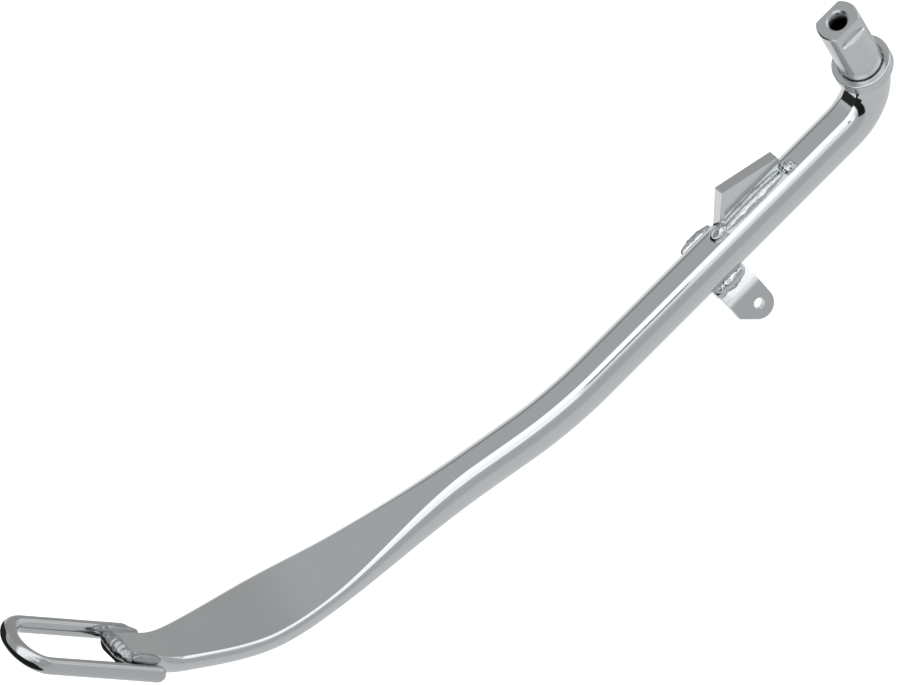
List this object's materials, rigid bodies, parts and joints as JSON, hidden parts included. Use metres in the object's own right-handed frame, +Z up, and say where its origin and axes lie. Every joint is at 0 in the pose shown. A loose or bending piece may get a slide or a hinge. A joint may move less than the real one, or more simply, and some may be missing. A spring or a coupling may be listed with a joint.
{
  "type": "kickstand",
  "caption": "Cranked round-bar side stand leg with a tapped pivot stud, thrust collar, stop plate, spring tab, flat swept blade and a welded foot loop.",
  "frame": {"origin": "centre of the thrust collar's bearing face, on the pivot stud's axis", "axes": "+Z up the pivot stud, out of its tapped end; the straight upper part of the bar runs along -X, and the lower leg turns towards +Y"},
  "size_m": [0.4245, 0.0804, 0.125],
  "materials": {
    "bar_chrome": "bright chrome plate on polished steel",
    "turned_chrome": "bright chrome plate over fine turning marks",
    "plate_chrome": "bright chrome plate over rolled strip",
    "weld_chrome": "chrome plate over rippled weld metal"
  },
  "bodies": {
    "root": {"leg_bar": "bar_chrome", "pivot_stud": "turned_chrome", "thrust_collar": "turned_chrome", "neck_weld": "bar_chrome", "stop_plate": "plate_chrome", "stop_front_weld": "weld_chrome", "stop_rear_weld": "weld_chrome", "stop_lower_weld": "weld_chrome", "stop_upper_weld": "weld_chrome", "spring_tab": "plate_chrome", "tab_front_weld": "weld_chrome", "tab_rear_weld": "weld_chrome", "tab_end_weld": "weld_chrome", "foot_loop": "bar_chrome", "loop_near_weld": "weld_chrome", "loop_far_weld": "weld_chrome", "toe_weld": "weld_chrome"}
  },
  "joints": []
}
